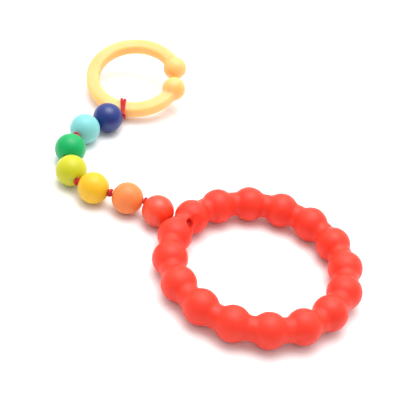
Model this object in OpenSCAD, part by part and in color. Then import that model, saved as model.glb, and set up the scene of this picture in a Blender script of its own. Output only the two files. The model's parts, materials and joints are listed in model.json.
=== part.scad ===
// Beaded teething ring on a bead chain, with a split link at the far end.
// Millimetres, +Z up. The origin is the centre of the ring, on the surface that it lies on.

/* [Teether ring] */
// Number of beads moulded into the ring
ring_beads = 16; // [14:2:18]
// Radius of the circle through the ring's bead centres
ring_r = 40; // [38:1:44]
// Diameter of each moulded bead
ring_bead_d = 16; // [15:0.5:17]
// Diameter of the neck between two moulded beads
neck_d = 11; // [10:0.2:11.6]

/* [Eyelet] */
// Direction of the neck that the cord passes through, from +X
eyelet_angle = 158; // [0:1:359]
// Diameter of the recess that hides the stopper knot
recess_d = 4.4; // [4.2:0.1:5]
// Depth of that recess
recess_depth = 4; // [3.6:0.1:4.4]
// How far the recess is tipped up from the ring's plane
recess_tilt = 45; // [0:5:60]

/* [Loose beads] */
// Diameter of a loose bead
bead_d = 15; // [14:0.5:15.5]
// Gap between two loose beads that sit tight against their knot
bead_gap = 1.6; // [1.5:0.1:2.5]
// Diameter of the bore through a loose bead and through the eyelet
bore_d = 2.4; // [2.2:0.1:3]

/* [Cord] */
// Diameter of the cord
cord_d = 1.5; // [1.2:0.1:2]
// Diameter of the small knots between the beads
knot_d = 3.6; // [3:0.1:3.8]
// Diameter of the stopper knot inside the ring
stopper_d = 4; // [3.6:0.1:4]

/* [Link] */
// Radius of the link's centre line
link_r = 22; // [21:0.1:24]
// Width of the link's band, seen from above
band_w = 6.6; // [6:0.1:6.8]
// Height of the link's band
band_h = 6; // [5.4:0.1:6.2]
// Radius of the band's rounded corners
band_corner = 1.4; // [1:0.1:2]
// Diameter of the ball at each end of the band
ball_d = 12.2; // [9:0.2:12.2]
// Angle between the two ball centres, seen from the link's centre
gap_angle = 38; // [37:1:45]
// Direction of the gap, from the line that runs on from the cord loop
gap_turn = -82; // [-110:1:-70]
// How far the link is tipped up, away from the cord loop
link_tilt = 15; // [0:1:16]
// How far the link and its loop lean sideways, with the gap side up
link_lean = 6; // [0:1:6]

/* [Hidden] */
$fn = 64;
cord_colour = "crimson";
link_colour = "khaki";
loose_beads = 7;
// How much wider than bead_gap the gap at each knot is, where the beads have slid apart
slack = [0, 0, 0.4, 0, 0.8, 1.4, 0, 0];
bead_z = bead_d / 2;         // height of the beads' centres and of the cord
first_knot_r = 45.8;         // from the ring's centre to the knot outside the eyelet
knot_room = 0.05;            // running clearance between a knot and the cord ends around it
dimple_d = 4.2;              // spherical dimple at each mouth of a bore
seat = 0.1;                  // how far the stopper knot reaches into the mouth of the bore
recess_floor = neck_d / 2 - recess_depth;        // from the elbow to the recess's floor
stopper_at = recess_floor - seat + stopper_d / 2; // from the elbow to the stopper knot
// Turn of the cord at each knot in degrees, anticlockwise seen from above, then at the link loop
turns = [-12, 34, -16, -40, -40, -10, -40, 54];
loop_reach = 7.8;            // from the last knot to the band's centre, level with the floor
loop_drop = 1.7;             // how far the band's centre lies below the last knot
loop_room = 0.12;            // clearance between the band's corners and the loop
leg_slimmer = 0.1;           // the loop's legs are this much slimmer, so that they end inside its arc
leg_overlap = 0.5;           // how far a leg runs into the arc
inset_w = band_w / 2 - band_corner;
inset_h = band_h / 2 - band_corner;
corner_reach = norm([inset_w, inset_h]) + band_corner;
loop_r = corner_reach + loop_room + cord_d / 2;
loop_span = norm([loop_reach, loop_drop]);
leg_angle = asin(loop_r / loop_span);
arm_angle = (360 - gap_angle) / 2;

// Direction of the cord after knot k, in degrees from +X. Knots count from 0.
function heading(k) = k == 0 ? eyelet_angle + turns[0] : heading(k - 1) + turns[k];

// From knot k to the next bead's surface, and to the next knot
function half_gap(k) = (bead_gap + slack[k]) / 2;
function run_length(k) = half_gap(k) + bead_d + half_gap(k + 1);

// Centre of knot k
function knot_at(k) = k == 0
    ? [first_knot_r * cos(eyelet_angle), first_knot_r * sin(eyelet_angle), bead_z]
    : knot_at(k - 1) + run_length(k - 1) * [cos(heading(k - 1)), sin(heading(k - 1)), 0];

// Puts local +X on the cord after knot k, with the knot at the origin
module after_knot(k) {
    translate(knot_at(k)) rotate([0, 0, heading(k)]) children();
}

// Puts local +X on the eyelet's axis, with the ring's centre at the origin
module along_eyelet() {
    translate([0, 0, bead_z]) rotate([0, 0, eyelet_angle]) children();
}

// Puts local +X on the recess's axis, pointing in and up, with the bore's elbow at the origin
module from_elbow() {
    along_eyelet() translate([ring_r, 0, 0]) rotate([0, recess_tilt - 180, 0]) children();
}

// A round bar along +X
module bar_x(d, from, to) {
    translate([from, 0, 0]) rotate([0, 90, 0]) cylinder(d = d, h = to - from);
}

module knot_clearance(x) {
    translate([x, 0, 0]) sphere(d = knot_d + 2 * knot_room);
}

module teether_ring() {
    color("tomato") difference() {
        translate([0, 0, ring_bead_d / 2]) {
            rotate_extrude() translate([ring_r, 0]) circle(d = neck_d);
            for (i = [0 : ring_beads - 1])
                rotate([0, 0, eyelet_angle + (i + 0.5) * 360 / ring_beads])
                    translate([ring_r, 0, 0]) sphere(d = ring_bead_d);
        }
        from_elbow() {
            sphere(d = bore_d);
            bar_x(bore_d, 0, neck_d / 2);
            bar_x(recess_d, recess_floor, neck_d);
        }
        along_eyelet() {
            bar_x(bore_d, ring_r, ring_r + neck_d);
            translate([first_knot_r, 0, 0]) sphere(d = dimple_d);
        }
    }
}

// The cord's end inside the ring: a stopper knot in its recess, and the run out to the first knot
module ring_tie() {
    color(cord_colour) {
        from_elbow() {
            translate([stopper_at, 0, 0]) sphere(d = stopper_d);
            bar_x(cord_d, 0, stopper_at);
            sphere(d = cord_d);
        }
        along_eyelet() difference() {
            bar_x(cord_d, ring_r, first_knot_r);
            knot_clearance(first_knot_r);
        }
    }
}

// Half of a loose bead's outline, with its bore along Y
module bead_outline() {
    difference() {
        circle(d = bead_d);
        translate([bore_d / 2 - bead_d, -bead_d / 2]) square(bead_d);
        for (side = [-1, 1]) translate([0, side * (bead_d + bead_gap) / 2]) circle(d = dimple_d);
    }
}

module loose_bead(k) {
    after_knot(k) translate([half_gap(k) + bead_d / 2, 0, 0]) rotate([0, 90, 0])
        rotate_extrude() bead_outline();
}

module red_bead() { color("orangered") loose_bead(0); }
module orange_bead() { color("sandybrown") loose_bead(1); }
module yellow_bead() { color("gold") loose_bead(2); }
module lime_bead() { color("yellowgreen") loose_bead(3); }
module green_bead() { color("mediumseagreen") loose_bead(4); }
module aqua_bead() { color("aquamarine") loose_bead(5); }
module navy_bead() { color("royalblue") loose_bead(6); }

// The cord inside one loose bead, from knot to knot
module cord_run(k) {
    color(cord_colour) after_knot(k) difference() {
        bar_x(cord_d, 0, run_length(k));
        knot_clearance(0);
        knot_clearance(run_length(k));
    }
}

module small_knot(k) {
    color(cord_colour) translate(knot_at(k)) sphere(d = knot_d);
}

// Puts local +X on the line from the last knot to the link
module after_last_knot() {
    after_knot(loose_beads) rotate([-link_lean, 0, 0]) children();
}

// The cord's last loop: two legs from the last knot, and an arc round the link's band
module link_loop() {
    dip = atan(loop_drop / loop_reach);
    leg = loop_span * cos(leg_angle) + leg_overlap;
    color(cord_colour) after_last_knot() rotate([0, dip, 0]) difference() {
        union() {
            for (side = [-1, 1])
                rotate([0, side * leg_angle, 0]) bar_x(cord_d - leg_slimmer, 0, leg);
            translate([loop_span, 0, 0]) rotate([90, 0, 0])
                rotate_extrude(angle = 180 + 2 * leg_angle, start = -90 - leg_angle)
                    translate([loop_r, 0]) circle(d = cord_d);
        }
        knot_clearance(0);
    }
}

// Puts the link's centre at the origin, its plane on XY, and the cord loop on -X
module at_link() {
    after_last_knot() translate([loop_reach, 0, -loop_drop])
        rotate([0, -link_tilt, 0]) translate([link_r, 0, 0]) children();
}

module band_section() {
    square([band_w, 2 * inset_h], center = true);
    square([2 * inset_w, band_h], center = true);
    for (x = [-inset_w, inset_w], y = [-inset_h, inset_h]) translate([x, y]) circle(r = band_corner);
}

// Half of the link: a curved band that starts at an angle, with a ball at one end
module link_arm(start_angle, ball_angle) {
    color(link_colour) at_link() {
        rotate_extrude(angle = arm_angle, start = start_angle) translate([link_r, 0]) band_section();
        rotate([0, 0, ball_angle]) translate([link_r, 0, 0]) sphere(d = ball_d);
    }
}

// The half that the cord loop holds
module link_arm_fixed() { link_arm(gap_turn + 180, gap_turn - gap_angle / 2); }

// The half that springs open
module link_arm_sprung() { link_arm(gap_turn + gap_angle / 2, gap_turn + gap_angle / 2); }

teether_ring();
ring_tie();
red_bead();
orange_bead();
yellow_bead();
lime_bead();
green_bead();
aqua_bead();
navy_bead();
for (k = [1 : loose_beads])
    cord_run(k - 1);
for (k = [1 : loose_beads + 1])
    small_knot(k - 1);
link_loop();
link_arm_fixed();
link_arm_sprung();
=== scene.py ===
import json
import math

import bpy
from mathutils import Matrix, Quaternion, Vector


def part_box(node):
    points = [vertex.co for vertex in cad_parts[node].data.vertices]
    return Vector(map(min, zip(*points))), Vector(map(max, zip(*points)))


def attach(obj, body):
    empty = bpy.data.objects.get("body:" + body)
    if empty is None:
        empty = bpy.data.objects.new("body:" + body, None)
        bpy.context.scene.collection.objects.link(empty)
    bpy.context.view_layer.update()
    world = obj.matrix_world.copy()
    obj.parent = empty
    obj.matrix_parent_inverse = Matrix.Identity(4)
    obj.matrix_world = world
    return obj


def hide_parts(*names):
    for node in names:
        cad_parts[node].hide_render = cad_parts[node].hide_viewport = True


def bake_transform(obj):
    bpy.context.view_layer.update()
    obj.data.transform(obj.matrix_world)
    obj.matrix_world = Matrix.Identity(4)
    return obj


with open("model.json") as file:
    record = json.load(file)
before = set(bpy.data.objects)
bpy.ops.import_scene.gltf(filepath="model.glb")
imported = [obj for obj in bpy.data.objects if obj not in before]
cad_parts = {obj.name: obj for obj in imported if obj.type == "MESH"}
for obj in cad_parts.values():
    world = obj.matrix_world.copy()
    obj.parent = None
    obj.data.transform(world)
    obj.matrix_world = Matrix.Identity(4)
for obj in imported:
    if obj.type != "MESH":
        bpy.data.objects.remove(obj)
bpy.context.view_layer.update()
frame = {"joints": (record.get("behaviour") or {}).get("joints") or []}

# The teething ring's finished look: the beaded ring, seven loose beads, their cord and the split link.

MM = 0.001
TURN = 2 * math.pi
UP = Vector((0, 0, 1))
JOINTS = {j["name"]: j for j in frame["joints"]}
BEADS = ["red", "orange", "yellow", "lime", "green", "aqua", "navy"]


# ---------------------------------------------------------------- places and sizes
# They are read from the frame. The few that it doesn't hold are given in mm, as in the CAD model.

def joint_place(name):
    return Vector(JOINTS[name]["pos_m"])


def joint_axis(name):
    return Vector(JOINTS[name]["axis"]).normalized()


def size_of(node):
    low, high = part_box(node)
    return high - low


KNOTS = [joint_place(f"bend_{i}") for i in range(1, len(BEADS) + 2)]      # the small knots' centres
BEAD_CENTRES = [joint_place(f"{b}_spin") for b in BEADS]
BEAD_R = size_of("red_bead").z / 2
KNOT_R = size_of("knot_1").z / 2
CORD_R = size_of("cord_1").z / 2
BORE_R = 1.2 * MM            # of the bore through each loose bead and through the eyelet

RING_BEADS = 16
RING_BEAD_R = size_of("teether_ring").z / 2
NECK_R = 5.5 * MM
BEAD_STEP = TURN / RING_BEADS
EYELET_TURN = math.atan2(KNOTS[0].y, KNOTS[0].x)
EYELET_OUT = Vector((math.cos(EYELET_TURN), math.sin(EYELET_TURN), 0))
RECESS_R = 2.2 * MM
RECESS_FLOOR = 1.5 * MM      # from the bore's elbow to the recess's floor
RECESS_WAY = (UP - EYELET_OUT).normalized()


def ring_radius():
    """The ring's widest bead towards +X gives the radius of its centre line."""
    turns = [EYELET_TURN + (i + 0.5) * BEAD_STEP for i in range(RING_BEADS)]
    widest = max(math.cos(t) for t in turns)
    return (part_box("teether_ring")[1].x - RING_BEAD_R) / widest


RING_R = ring_radius()
ELBOW = EYELET_OUT * RING_R + UP * KNOTS[0].z       # where the eyelet's bore meets its recess


# ---------------------------------------------------------------- mesh making

def mesh_piece(name, points, faces, material):
    mesh = bpy.data.meshes.new(name)
    mesh.from_pydata([tuple(p) for p in points], [], faces)
    mesh.validate()
    mesh.shade_smooth()
    piece = bpy.data.objects.new(name, mesh)
    bpy.context.scene.collection.objects.link(piece)
    piece.data.materials.append(material)
    return piece


def loop_faces(rows, columns, close_rows, first=0):
    """Quads between rows of points, where each row is a closed loop and they are stored row by row."""
    faces = []
    for r in range(rows if close_rows else rows - 1):
        for c in range(columns):
            r2, c2 = (r + 1) % rows, (c + 1) % columns
            faces.append((first + r * columns + c, first + r * columns + c2,
                          first + r2 * columns + c2, first + r2 * columns + c))
    return faces


def smooth_union(a, b, blend):
    """Distance to two shapes joined by a fillet of about that radius."""
    h = max(0.0, 1 - abs(a - b) / blend)
    return min(a, b) - h * h * blend / 4


HALVINGS = 26                # of the search for a surface, which ends far finer than a micron
SEARCH_SPARE = 1.2           # the search reaches this many times the largest radius


def reach(distance, centre, direction, far):
    """How far the surface of a solid is from a point inside it."""
    near = 0.0
    for _ in range(HALVINGS):
        middle = (near + far) / 2
        if distance(centre + direction * middle) < 0:
            near = middle
        else:
            far = middle
    return (near + far) / 2


def square_to(axis):
    """A direction square to an axis, level unless the axis is nearly upright."""
    return axis.cross(UP if abs(axis.z) < 0.9 else Vector((1, 0, 0))).normalized()


# ---------------------------------------------------------------- materials

def srgb(r, g, b):
    """A colour as a picture shows it, 0 to 255, in the linear values that a shader takes."""
    def one(c):
        c /= 255
        return c / 12.92 if c <= 0.04045 else ((c + 0.055) / 1.055) ** 2.4
    return (one(r), one(g), one(b), 1)


NOISE_LOW, NOISE_HIGH = 0.3, 0.7         # nearly all of a noise's values lie between these


class Nodes:
    """A new material's node tree, with the shader and object coordinates ready."""

    def __init__(self, name):
        self.material = bpy.data.materials.new(name)
        self.material.use_nodes = True
        self.tree = self.material.node_tree
        self.shader = self.tree.nodes["Principled BSDF"]
        self.place = self.add("ShaderNodeTexCoord").outputs["Object"]

    def add(self, kind):
        return self.tree.nodes.new(kind)

    def link(self, a, b):
        self.tree.links.new(a, b)

    def noise(self, scale, detail, roughness=0.5):
        node = self.add("ShaderNodeTexNoise")
        node.inputs["Scale"].default_value = scale
        node.inputs["Detail"].default_value = detail
        node.inputs["Roughness"].default_value = roughness
        self.link(self.place, node.inputs["Vector"])
        return node.outputs["Fac"]

    def ramp(self, value, stops):
        """A colour that changes with a value, between two (value, colour) stops."""
        node = self.add("ShaderNodeValToRGB")
        for stop, (at, colour) in zip(node.color_ramp.elements, stops):
            stop.position = at
            stop.color = colour
        self.link(value, node.inputs["Fac"])
        return node.outputs["Color"]

    def spread(self, value, low, high):
        """A noise's usual values, spread over the range from low to high."""
        node = self.add("ShaderNodeMapRange")
        node.inputs["From Min"].default_value = NOISE_LOW
        node.inputs["From Max"].default_value = NOISE_HIGH
        node.inputs["To Min"].default_value = low
        node.inputs["To Max"].default_value = high
        self.link(value, node.inputs["Value"])
        return node.outputs["Result"]

    def bump(self, height, strength, distance):
        node = self.add("ShaderNodeBump")
        node.inputs["Strength"].default_value = strength
        node.inputs["Distance"].default_value = distance
        self.link(height, node.inputs["Height"])
        self.link(node.outputs["Normal"], self.shader.inputs["Normal"])


GRAIN_DEPTH = 0.05 * MM


def silicone(name, colour, deep, glow=0.6, matt=0.32, gloss=0.35):
    """Satin moulded silicone: a soft waxy body, slightly cloudy colour and a fine mould grain.

    Glow is how much light spreads inside it, matt its least roughness and gloss its highlight.
    """
    n = Nodes(name)
    cloud = n.noise(90, 3)
    wear = n.noise(260, 2)
    grain = n.noise(4200, 3, 0.6)
    cloudy = n.ramp(cloud, [(NOISE_LOW, srgb(*deep)), (NOISE_HIGH, srgb(*colour))])
    n.link(cloudy, n.shader.inputs["Base Color"])
    n.link(n.spread(wear, matt, matt + 0.08), n.shader.inputs["Roughness"])
    n.bump(grain, 0.12, GRAIN_DEPTH)
    strongest = max(colour)
    glow_reach = [max(0.15, c / strongest) for c in colour]
    n.shader.inputs["Subsurface Weight"].default_value = glow
    n.shader.inputs["Subsurface Radius"].default_value = glow_reach
    n.shader.inputs["Subsurface Scale"].default_value = 3.5 * MM
    n.shader.inputs["Specular IOR Level"].default_value = gloss
    return n.material


def cord_material():
    """Crimson nylon: a fine random mottle of bright crimson, a painted highlight on the filaments, and
    dark crimson, painted shade between them.
    """
    n = Nodes("cord_nylon")
    fibre_and_painted_light = n.noise(3600, 4, 0.7)
    # the ramp's bright end is a painted highlight and its dark end is painted shade, scattered at random;
    # the same noise also sets roughness and bump
    n.link(n.ramp(fibre_and_painted_light, [(0.32, srgb(150, 0, 8)), (0.7, srgb(246, 30, 36))]),
           n.shader.inputs["Base Color"])
    n.link(n.spread(fibre_and_painted_light, 0.5, 0.36), n.shader.inputs["Roughness"])
    n.bump(fibre_and_painted_light, 0.5, 0.06 * MM)
    n.shader.inputs["Sheen Weight"].default_value = 0.1
    n.shader.inputs["Sheen Roughness"].default_value = 0.4
    return n.material


def link_material():
    """Translucent yellow plastic with warm depth and faint moulding haze."""
    n = Nodes("link_plastic")
    haze = n.noise(70, 3)
    wear = n.noise(320, 2)
    grain = n.noise(1600, 2)
    hazy = n.ramp(haze, [(NOISE_LOW, srgb(247, 182, 106)), (NOISE_HIGH, srgb(251, 193, 126))])
    n.link(hazy, n.shader.inputs["Base Color"])
    n.link(n.spread(wear, 0.34, 0.44), n.shader.inputs["Roughness"])
    n.bump(grain, 0.06, GRAIN_DEPTH)
    n.shader.inputs["Subsurface Weight"].default_value = 0.85
    n.shader.inputs["Subsurface Radius"].default_value = (1.0, 0.85, 0.22)
    n.shader.inputs["Subsurface Scale"].default_value = 10 * MM
    n.shader.inputs["Specular IOR Level"].default_value = 0.5
    return n.material


SILICONES = {
    "ring": silicone("ring_silicone", (242, 62, 38), (236, 54, 32), matt=0.42),
    "red": silicone("red_silicone", (242, 73, 37), (236, 66, 31), gloss=0.6),
    "orange": silicone("orange_silicone", (242, 140, 76), (236, 133, 69)),
    "yellow": silicone("yellow_silicone", (238, 190, 38), (233, 183, 31)),
    "lime": silicone("lime_silicone", (202, 200, 36), (194, 194, 29)),
    "green": silicone("green_silicone", (0, 175, 100), (0, 167, 92)),
    "aqua": silicone("aqua_silicone", (136, 208, 208), (127, 200, 202)),
    "navy": silicone("navy_silicone", (4, 42, 122), (2, 37, 114), glow=0.15, gloss=0.6),
}
CORD = cord_material()
LINK = link_material()


# ---------------------------------------------------------------- the beaded ring

RING_ROWS_PER_BEAD = 44
RING_COLUMNS = 60
CUTTER_COLUMNS = 40
NECK_FILLET = 0.9 * MM
LIP_R = 0.5 * MM                         # rounding of the eyelet's two edges
OUTER_LIP_DEPTH = 0.8 * MM               # where the outer rounding starts, below the neck's surface
OUTER_FLARE = (3.0 * MM, 2.9 * MM)       # how far the outer cutter goes on past the neck, and widens
INNER_FLARE = (4.0 * MM, 4.0 * MM)
FLOOR_SLOPE = 0.3 * MM                   # depth of the slope from the recess's floor into the bore
PAST_ELBOW = 0.6 * MM                    # how far the two bores run into each other


def ring_distance(p):
    """Distance to the ring's surface for a point within half a bead step of a bead on +X."""
    bead = (p - Vector((RING_R, 0, 0))).length - RING_BEAD_R
    neck = Vector((math.hypot(p.x, p.y) - RING_R, p.z)).length - NECK_R
    return smooth_union(bead, neck, NECK_FILLET)


def make_ring():
    """One bead's length is worked out and repeated round the ring."""
    middle = Vector((0, 0, RING_BEAD_R))
    pattern = []
    for row in range(RING_ROWS_PER_BEAD):
        turn = ((row + 0.5) / RING_ROWS_PER_BEAD - 0.5) * BEAD_STEP
        out = Vector((math.cos(turn), math.sin(turn), 0))
        for column in range(RING_COLUMNS):
            a = TURN * column / RING_COLUMNS
            direction = out * math.cos(a) + UP * math.sin(a)
            t = reach(ring_distance, out * RING_R, direction, RING_BEAD_R * SEARCH_SPARE)
            pattern.append(out * RING_R + direction * t)
    points = []
    for i in range(RING_BEADS):
        turned = Matrix.Rotation(EYELET_TURN + (i + 0.5) * BEAD_STEP, 3, "Z")
        points += [turned @ p + middle for p in pattern]
    faces = loop_faces(RING_BEADS * RING_ROWS_PER_BEAD, RING_COLUMNS, True)
    return mesh_piece("ring_moulding", points, faces, SILICONES["ring"])


def lathe_points(outline, origin, axis, columns):
    """Turns an outline of (along, radius) points about an axis."""
    side = square_to(axis)
    top = axis.cross(side)
    points = []
    for along, radius in outline:
        for c in range(columns):
            a = TURN * c / columns
            points.append(origin + axis * along + (side * math.cos(a) + top * math.sin(a)) * radius)
    return points


def lathe_ring(name, outline, origin, axis, columns, material):
    """A turned piece whose outline is closed, so that it has a bore."""
    points = lathe_points(outline, origin, axis, columns)
    return mesh_piece(name, points, loop_faces(len(outline), columns, True), material)


def lathe_plug(name, outline, origin, axis, columns, material):
    """A turned piece with flat ends."""
    points = lathe_points(outline, origin, axis, columns)
    rows = len(outline)
    faces = loop_faces(rows, columns, False)
    faces.append(tuple(reversed(range(columns))))
    faces.append(tuple(range((rows - 1) * columns, rows * columns)))
    return mesh_piece(name, points, faces, material)


def lip_outline(start, radius):
    """Points of a hole's rounded edge, which begins to widen at start."""
    outline = []
    for degrees in range(0, 76, 15):
        a = math.radians(degrees)
        outline.append((start + LIP_R * math.sin(a), radius + LIP_R - LIP_R * math.cos(a)))
    return outline


def apply_modifiers(piece):
    graph = bpy.context.evaluated_depsgraph_get()
    mesh = bpy.data.meshes.new_from_object(piece.evaluated_get(graph))
    piece.modifiers.clear()
    piece.data = mesh


def cut_away(piece, outline, origin, axis):
    """Cuts a turned shape out of a piece."""
    cutter = lathe_plug("cutter", outline, origin, axis, CUTTER_COLUMNS, SILICONES["ring"])
    bpy.context.view_layer.update()
    cut = piece.modifiers.new("cut", "BOOLEAN")
    cut.operation = "DIFFERENCE"
    cut.solver = "EXACT"
    cut.object = cutter
    apply_modifiers(piece)
    bpy.data.objects.remove(cutter)


def cut_eyelet(ring):
    """A bore from outside to the neck's middle, and a tipped-up recess for the stopper knot."""
    outside = [(0, BORE_R)] + lip_outline(NECK_R - OUTER_LIP_DEPTH, BORE_R)
    outside.append((NECK_R + OUTER_FLARE[0], BORE_R + OUTER_FLARE[1]))
    cut_away(ring, outside, ELBOW, EYELET_OUT)
    inside = [(-PAST_ELBOW, BORE_R), (RECESS_FLOOR - FLOOR_SLOPE, BORE_R), (RECESS_FLOOR, RECESS_R)]
    inside += lip_outline(NECK_R - LIP_R, RECESS_R)
    inside.append((NECK_R + INNER_FLARE[0], RECESS_R + INNER_FLARE[1]))
    cut_away(ring, inside, ELBOW, RECESS_WAY)


ring = make_ring()
cut_eyelet(ring)
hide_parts("teether_ring")
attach(ring, "ring")


# ---------------------------------------------------------------- the loose beads

BEAD_COLUMNS = 72
DIMPLE_R = KNOT_R - 0.1 * MM             # of the dimple at each mouth of a bead's bore
DIMPLE_OUT = 0.8 * MM                    # from the bead's surface out to the dimple's centre
DIMPLE_STEPS = 7
BEAD_ARC_STEPS = 26
BORE_STEPS = 8
SOFTENINGS = 3


def bead_outline():
    """Half of a bead's section, once round: a dimple, the outer arc, the other dimple, the bore."""
    dimple_at = BEAD_R + DIMPLE_OUT
    meet = math.asin(BORE_R / DIMPLE_R)
    across = (dimple_at ** 2 + BEAD_R ** 2 - DIMPLE_R ** 2) / (2 * dimple_at)
    rim = math.acos(across / BEAD_R)
    rim_seen = math.atan2(BEAD_R * math.sin(rim), dimple_at - across)
    dimple = []
    for i in range(DIMPLE_STEPS + 1):
        a = meet + (rim_seen - meet) * i / DIMPLE_STEPS
        dimple.append((dimple_at - DIMPLE_R * math.cos(a), DIMPLE_R * math.sin(a)))
    arc = []
    for i in range(1, BEAD_ARC_STEPS):
        a = rim + (math.pi - 2 * rim) * i / BEAD_ARC_STEPS
        arc.append((BEAD_R * math.cos(a), BEAD_R * math.sin(a)))
    other_dimple = [(-x, r) for x, r in reversed(dimple)]
    bore_end = dimple[0][0]
    bore = [(-bore_end + 2 * bore_end * i / BORE_STEPS, BORE_R) for i in range(1, BORE_STEPS)]
    return soften(dimple + arc + other_dimple + bore, SOFTENINGS)


SHARP_FROM = 0.25            # a bend under this, in radians, stays as it is
SHARP_RANGE = 0.4            # and the pull is full where the bend is this much more


def soften(outline, times):
    """Rounds the corners of a closed outline and leaves its smooth stretches alone."""
    for _ in range(times):
        count = len(outline)
        moved = []
        for i, (x, r) in enumerate(outline):
            before, after = outline[i - 1], outline[(i + 1) % count]
            pull = Vector(((before[0] + after[0]) / 2 - x, (before[1] + after[1]) / 2 - r))
            reach_back = Vector((x - before[0], r - before[1]))
            reach_on = Vector((after[0] - x, after[1] - r))
            bend = reach_back.angle(reach_on, 0)
            weight = min(1.0, max(0.0, (bend - SHARP_FROM) / SHARP_RANGE)) * 0.5
            moved.append((x + pull.x * weight, r + pull.y * weight))
        outline = moved
    return outline


outline = bead_outline()
for i, colour in enumerate(BEADS):
    name = f"{colour}_bead"
    bead = lathe_ring(f"{name}_moulding", outline, BEAD_CENTRES[i], joint_axis(f"{colour}_spin"),
                      BEAD_COLUMNS, SILICONES[colour])
    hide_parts(name)
    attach(bead, name)


# ---------------------------------------------------------------- the cord

STRANDS = 8
STRAND_SIDES = 6
STRAND_R = 0.3               # radius of a strand, as a share of the cord's
PLAIT = 3.1                  # length of one turn, in cord diameters
WEAVE = 0.12                 # how far a strand moves in and out as it crosses others
CORD_STEP = 0.24 * MM
STRAIGHT_STEPS = 8


def frames_along(path):
    """Tangent and two cross directions at each point of a path, without twist."""
    ahead = path[1:] + path[-1:]
    behind = path[:1] + path[:-1]
    tangents = [(a - b).normalized() for a, b in zip(ahead, behind)]
    side = square_to(tangents[0])
    frames = []
    for i, tangent in enumerate(tangents):
        if i:
            side = (side - tangent * side.dot(tangent)).normalized()
        frames.append((tangent, side, tangent.cross(side)))
    return frames


def tube(path, radius, sides, points, faces):
    """Adds a closed-ended tube along a path to a list of points and faces."""
    first = len(points)
    for p, (_, side, top) in zip(path, frames_along(path)):
        for c in range(sides):
            a = TURN * c / sides
            points.append(p + side * math.cos(a) * radius + top * math.sin(a) * radius)
    faces += loop_faces(len(path), sides, False, first)
    faces.append(tuple(first + c for c in reversed(range(sides))))
    end = first + (len(path) - 1) * sides
    faces.append(tuple(end + c for c in range(sides)))


def even_path(path, step):
    """The same path with points a fixed step apart."""
    out = [path[0]]
    left = step
    for a, b in zip(path, path[1:]):
        length = (b - a).length
        at = left
        while at <= length:
            out.append(a.lerp(b, at / length))
            at += step
        left = at - length
    return out


def plaited(name, paths, radius):
    """A round braid: half the strands wind one way, half the other, over and under by turns."""
    points, faces = [], []
    for path in paths:
        path = even_path(path, CORD_STEP)
        frames = frames_along(path)
        for strand in range(STRANDS):
            way = 1 if strand % 2 else -1
            phase = TURN * (strand // 2) / (STRANDS / 2)
            line = []
            for i, (p, (_, side, top)) in enumerate(zip(path, frames)):
                turn = phase + way * TURN * i * CORD_STEP / (PLAIT * radius * 2)
                weave = math.cos(turn * STRANDS / 2) * way
                r = radius * (1 - STRAND_R) * (1 + WEAVE * weave)
                line.append(p + side * math.cos(turn) * r + top * math.sin(turn) * r)
            tube(line, radius * STRAND_R, STRAND_SIDES, points, faces)
    return mesh_piece(name, points, faces, CORD)


KNOT_FLATNESS = 0.34         # a knot's half length along the cord, as a share of its loop
KNOT_STEPS = 72


def knot_path(centre, axis, turned, size):
    """A tight overhand knot, as a flattened trefoil round the cord."""
    side = axis.cross(UP).normalized()
    side.rotate(Quaternion(axis, turned))
    top = axis.cross(side)
    path = []
    for i in range(KNOT_STEPS + 1):
        a = TURN * i / KNOT_STEPS
        x = (math.sin(a) + 2 * math.sin(2 * a)) / 3
        y = (math.cos(a) - 2 * math.cos(2 * a)) / 3
        z = -math.sin(3 * a)
        path.append(centre + side * x * size + top * y * size + axis * z * size * KNOT_FLATNESS)
    return path


def straight(a, b):
    return [a.lerp(b, i / STRAIGHT_STEPS) for i in range(STRAIGHT_STEPS + 1)]


def heading_of(i):
    """Direction of the cord at knot i, halfway between the runs beside it. The last knot has only one."""
    before = joint_axis(f"{BEADS[i - 1]}_spin") if i else EYELET_OUT
    after = joint_axis(f"{BEADS[i]}_spin") if i < len(BEADS) else before
    return (before + after).normalized()


def finish_cord(piece, node, body):
    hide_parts(node)
    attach(piece, body)


KNOT_CORD_R = 0.64 * MM
KNOT_LOOP_R = 1.45 * MM
KNOT_SIZES = [1, 1, 1.1, 1.1, 0.65, 1.15, 1, 1]          # tied tighter or looser
KNOT_RISES = [0, 0.3, 1.3, 0, 0, 1.3, 0.3, 0]            # how far each has ridden up, in mm
KNOT_TURN = 0.7              # each knot is turned this much further round the cord, in radians

for i in range(len(BEADS)):
    run = plaited(f"cord_run_{i + 1}", [straight(KNOTS[i], KNOTS[i + 1])], CORD_R)
    finish_cord(run, f"cord_{i + 1}", f"run_{i + 1}")
for i, place in enumerate(KNOTS):
    path = knot_path(place + UP * KNOT_RISES[i] * MM, heading_of(i), KNOT_TURN * i,
                     KNOT_LOOP_R * KNOT_SIZES[i])
    knot = plaited(f"overhand_knot_{i + 1}", [path], KNOT_CORD_R)
    finish_cord(knot, f"knot_{i + 1}", f"pivot_{i + 1}")

STOPPER_AT = 3.3 * MM        # from the bore's elbow to the stopper knot
STOPPER_LOOP_R = 1.24 * MM
STOPPER_TURN = 0.3           # in radians, round the recess's axis


def tie_path(stopper):
    """From the stopper knot round the bore's elbow to the first knot, on one smooth curve."""
    near = ELBOW + RECESS_WAY * BORE_R
    far = ELBOW + EYELET_OUT * BORE_R
    bend = []       # a point that moves from one line to the next rounds the elbow
    for i, (p, q) in enumerate(zip(straight(near, ELBOW), straight(ELBOW, far))):
        bend.append(p.lerp(q, i / STRAIGHT_STEPS))
    return [stopper] + bend + [KNOTS[0]]


stopper = ELBOW + RECESS_WAY * STOPPER_AT
stopper_knot = knot_path(stopper, RECESS_WAY, STOPPER_TURN, STOPPER_LOOP_R)
tie = plaited("ring_tie_cord", [stopper_knot, tie_path(stopper)], KNOT_CORD_R)
finish_cord(tie, "ring_tie", "ring")


# ---------------------------------------------------------------- the link and its cord loop

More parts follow.
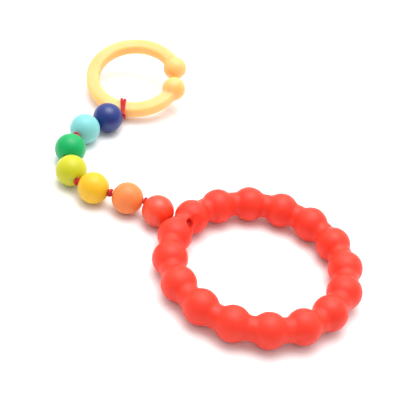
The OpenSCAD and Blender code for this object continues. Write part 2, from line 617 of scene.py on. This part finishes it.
LINK_CENTRE = joint_place("link_slide_round")
LINK_AXIS = -joint_axis("link_slide_round")
HINGE = joint_place("link_flex")         # on the link's outer edge, opposite the gap
BAND_HALF_W = 3.3 * MM
BAND_HALF_H = 3.0 * MM
BAND_CORNER = 1.4 * MM
LINK_R = (HINGE - LINK_CENTRE).length - BAND_HALF_W
BALL_R = 6.1 * MM
BALL_FILLET = 1.2 * MM
BALL_HALF_TURN = math.asin(BALL_R / LINK_R)          # half of the turn that a ball takes up
GAP_HALF = math.radians(19)                          # from the gap's middle to a ball's centre
GAP_WAY = (LINK_CENTRE - HINGE).normalized()         # from the link's centre to the gap's middle
ACROSS = LINK_AXIS.cross(GAP_WAY)
LINK_COLUMNS = 48
TIP_DEGREES = range(6, 90, 7)            # rows crowd together towards a ball's tip
BALL_END = 1.5 * BALL_HALF_TURN          # a ball and its fillet end before this turn
BALL_ROWS = 14
ARM_ROWS = 60
ARM_CROWDING = 1.25          # over 1 crowds an arm's rows towards the link's back


def band_distance(p):
    """Distance to the band and one ball, in link coordinates: the ball's centre is on +X."""
    out = math.hypot(p.x, p.y) - LINK_R
    qx = abs(out) - (BAND_HALF_W - BAND_CORNER)
    qz = abs(p.z) - (BAND_HALF_H - BAND_CORNER)
    band = math.hypot(max(qx, 0), max(qz, 0)) + min(max(qx, qz), 0) - BAND_CORNER
    ball = (p - Vector((LINK_R, 0, 0))).length - BALL_R
    if p.y < 0:
        return ball
    return smooth_union(band, ball, BALL_FILLET)


def arm_turns():
    """Angles along one arm, from near the tip of its ball to near the middle of the link's back."""
    turns = [-BALL_HALF_TURN * math.cos(math.radians(d)) for d in TIP_DEGREES]
    turns += [BALL_END * i / BALL_ROWS for i in range(BALL_ROWS)]
    rest = math.pi - GAP_HALF - BALL_END
    turns += [BALL_END + rest * (1 - (1 - i / ARM_ROWS) ** ARM_CROWDING) for i in range(ARM_ROWS)]
    return turns


def way_out(turn):
    """From the link's centre outwards, in link coordinates."""
    return Vector((math.cos(turn), math.sin(turn), 0))


def row_centre(turn):
    """The middle of a row: as near as it comes to the ball's centre, then on the band's middle line."""
    if turn < BALL_HALF_TURN:
        share = math.cos(turn)
    else:
        at_edge = math.cos(BALL_HALF_TURN)
        share = 1 - (1 - at_edge) * max(0, 2 - turn / BALL_HALF_TURN)
    return way_out(turn) * LINK_R * share


def link_row(turn):
    """Points round one section of an arm."""
    out = way_out(turn)
    centre = row_centre(turn)
    row = []
    for c in range(LINK_COLUMNS):
        a = TURN * c / LINK_COLUMNS
        direction = out * math.cos(a) + UP * math.sin(a)
        row.append(centre + direction * reach(band_distance, centre, direction, BALL_R * SEARCH_SPARE))
    return row


def place_arm(points, way):
    """Moves an arm's points to the link. The way is 1 for one arm and -1 for its mirror image."""
    placed = []
    for p in points:
        turned = Matrix.Rotation(GAP_HALF, 3, "Z") @ p
        placed.append(LINK_CENTRE + GAP_WAY * turned.x + ACROSS * turned.y * way + LINK_AXIS * turned.z)
    return placed


def make_link():
    """One arm is worked out and mirrored; a row at the middle of the back joins the two."""
    rows = [link_row(turn) for turn in arm_turns()]
    back = link_row(math.pi - GAP_HALF)
    points = []
    for row in rows + [back]:
        points += place_arm(row, 1)
    for row in reversed(rows):
        points += place_arm(row, -1)
    total = 2 * len(rows) + 1
    faces = loop_faces(total, LINK_COLUMNS, False)
    tip = len(points)
    for way in (1, -1):
        points += place_arm([row_centre(-BALL_HALF_TURN)], way)
    last = (total - 1) * LINK_COLUMNS
    for c in range(LINK_COLUMNS):       # a fan of triangles closes each ball at its tip
        c2 = (c + 1) % LINK_COLUMNS
        faces.append((tip, c2, c))
        faces.append((tip + 1, last + c, last + c2))
    return mesh_piece("link_moulding", points, faces, LINK)


link = make_link()
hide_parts("link_arm_fixed", "link_arm_sprung")
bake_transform(link)


LOOP_SPREAD = 0.9 * MM       # how far each of the loop's two turns lies from their middle
LOOP_SLANT = 2.2 * MM        # how far that middle lies to the left on the inside of the link
EDGE_STEPS = 6


def band_outline(along, up, away):
    """Points round the band's section at a distance from it, as an unbroken convex outline."""
    inset_w = BAND_HALF_W - BAND_CORNER
    inset_h = BAND_HALF_H - BAND_CORNER
    radius = BAND_CORNER + away
    points = []
    for quarter in range(4):
        side_w = 1 if quarter in (0, 3) else -1
        side_h = 1 if quarter in (0, 1) else -1
        for i in range(EDGE_STEPS + 1):
            a = (quarter + i / EDGE_STEPS) * math.pi / 2
            points.append(along * (side_w * inset_w + radius * math.cos(a))
                          + up * (side_h * inset_h + radius * math.sin(a)))
    return points


def loop_path(sideways):
    """A taut turn of cord from the last knot over the band, round it and back to the knot."""
    start = KNOTS[-1]
    onward = UP.cross(joint_axis("lift_8")).normalized()
    if onward.dot(LINK_CENTRE - start) < 0:
        onward = -onward
    across = LINK_AXIS.cross(onward).normalized()
    slope = across.cross(LINK_AXIS)
    if slope.dot(onward) < 0:
        slope = -slope
    top = LINK_AXIS if LINK_AXIS.z > 0 else -LINK_AXIS
    to_left = top.cross(slope)
    middle = LINK_CENTRE - slope * LINK_R
    ring_of_points = [middle + p for p in band_outline(slope, top, CORD_R)]

    def rise(p):
        return math.atan2((p - start).dot(top), (p - start).dot(slope))

    count = len(ring_of_points)
    first = max(range(count), key=lambda i: rise(ring_of_points[i]))
    last = min(range(count), key=lambda i: rise(ring_of_points[i]))
    taut = [ring_of_points[i % count] for i in range(first, first - count, -1)]
    taut = taut[:(first - last) % count + 1]
    path = straight(start, taut[0])[:-1] + taut + straight(taut[-1], start)[1:]
    far = max((p - start).dot(slope) for p in path)
    slanted = []
    for p in path:
        aside = sideways * (p - start).dot(slope) / far
        curve_of_band = aside * aside / (2 * LINK_R)
        slanted.append(p + to_left * aside + slope * curve_of_band)
    return slanted


loop = plaited("link_cord_loop",
               [loop_path(LOOP_SLANT + LOOP_SPREAD), loop_path(LOOP_SLANT - LOOP_SPREAD)], CORD_R)
finish_cord(loop, "link_loop", "loop")


# ---------------------------------------------------------------- floor, light and camera

FLOOR_HALF = 6.0                             # in metres, as are the lights' places and sizes
LIT_POINT = Vector((-0.04, 0.05, 0))         # both lights face this point, near the object's middle


def make_stage():
    corners = [Vector((x, y, 0)) * FLOOR_HALF for x, y in ((-1, -1), (1, -1), (1, 1), (-1, 1))]
    n = Nodes("white_floor")
    n.shader.inputs["Base Color"].default_value = (0.93, 0.93, 0.93, 1)
    n.shader.inputs["Roughness"].default_value = 0.9
    n.shader.inputs["Specular IOR Level"].default_value = 0.1
    floor = mesh_piece("floor", corners, [(0, 1, 2, 3)], n.material)


def area_light(name, place, size, watts):
    """A white rectangular light."""
    data = bpy.data.lights.new(name, "AREA")
    data.shape = "RECTANGLE"
    data.size, data.size_y = size
    data.energy = watts
    light = bpy.data.objects.new(name, data)
    light.location = place
    light.rotation_mode = "QUATERNION"
    light.rotation_quaternion = (LIT_POINT - light.location).to_track_quat("-Z", "Y")
    bpy.context.scene.collection.objects.link(light)


BRIGHTEST_WAY = (0, 0.5, 0.87)           # the studio is brightest overhead and behind the object
BRIGHTEST = 1.45
DIMMEST = 0.38


def make_world():
    """A soft white studio: bright overhead, dimmer towards the camera's side."""
    world = bpy.data.worlds.new("studio")
    world.use_nodes = True
    tree = world.node_tree
    way = tree.nodes.new("ShaderNodeTexCoord")
    facing = tree.nodes.new("ShaderNodeVectorMath")
    facing.operation = "DOT_PRODUCT"
    facing.inputs[1].default_value = BRIGHTEST_WAY
    fall_off = tree.nodes.new("ShaderNodeMapRange")
    fall_off.inputs["From Min"].default_value = 0
    fall_off.inputs["From Max"].default_value = 1
    fall_off.inputs["To Min"].default_value = DIMMEST
    fall_off.inputs["To Max"].default_value = BRIGHTEST
    background = tree.nodes["Background"]
    background.inputs["Color"].default_value = (1, 1, 1, 1)
    tree.links.new(way.outputs["Generated"], facing.inputs[0])
    tree.links.new(facing.outputs["Value"], fall_off.inputs["Value"])
    tree.links.new(fall_off.outputs["Result"], background.inputs["Strength"])
    bpy.context.scene.world = world


def make_lights():
    """A large soft light, and a small one for the highlights, both high up and behind the object."""
    area_light("softbox", (-0.05, 0.24, 0.99), (0.9, 0.8), 7.4)
    area_light("key", (-0.05, 0.3, 0.97), (0.36, 0.32), 1.2)


def make_camera():
    """A long lens from the front, above and slightly rolled."""
    data = bpy.data.cameras.new("camera")
    data.lens = 99                   # in mm, as is the sensor
    data.sensor_width = 36
    camera = bpy.data.objects.new("camera", data)
    target = Vector((-31.3, 44.2, 0)) * MM
    distance = 530.6 * MM
    climb = math.radians(40.5)
    roll = math.radians(11.4)
    camera.location = target + Vector((0, -math.cos(climb), math.sin(climb))) * distance
    look = (target - camera.location).to_track_quat("-Z", "Y")
    camera.rotation_mode = "QUATERNION"
    camera.rotation_quaternion = look @ Quaternion((0, 0, 1), roll)
    bpy.context.scene.collection.objects.link(camera)
    bpy.context.scene.camera = camera


make_stage()
make_world()
make_lights()
make_camera()
bpy.context.scene.view_settings.view_transform = "Standard"
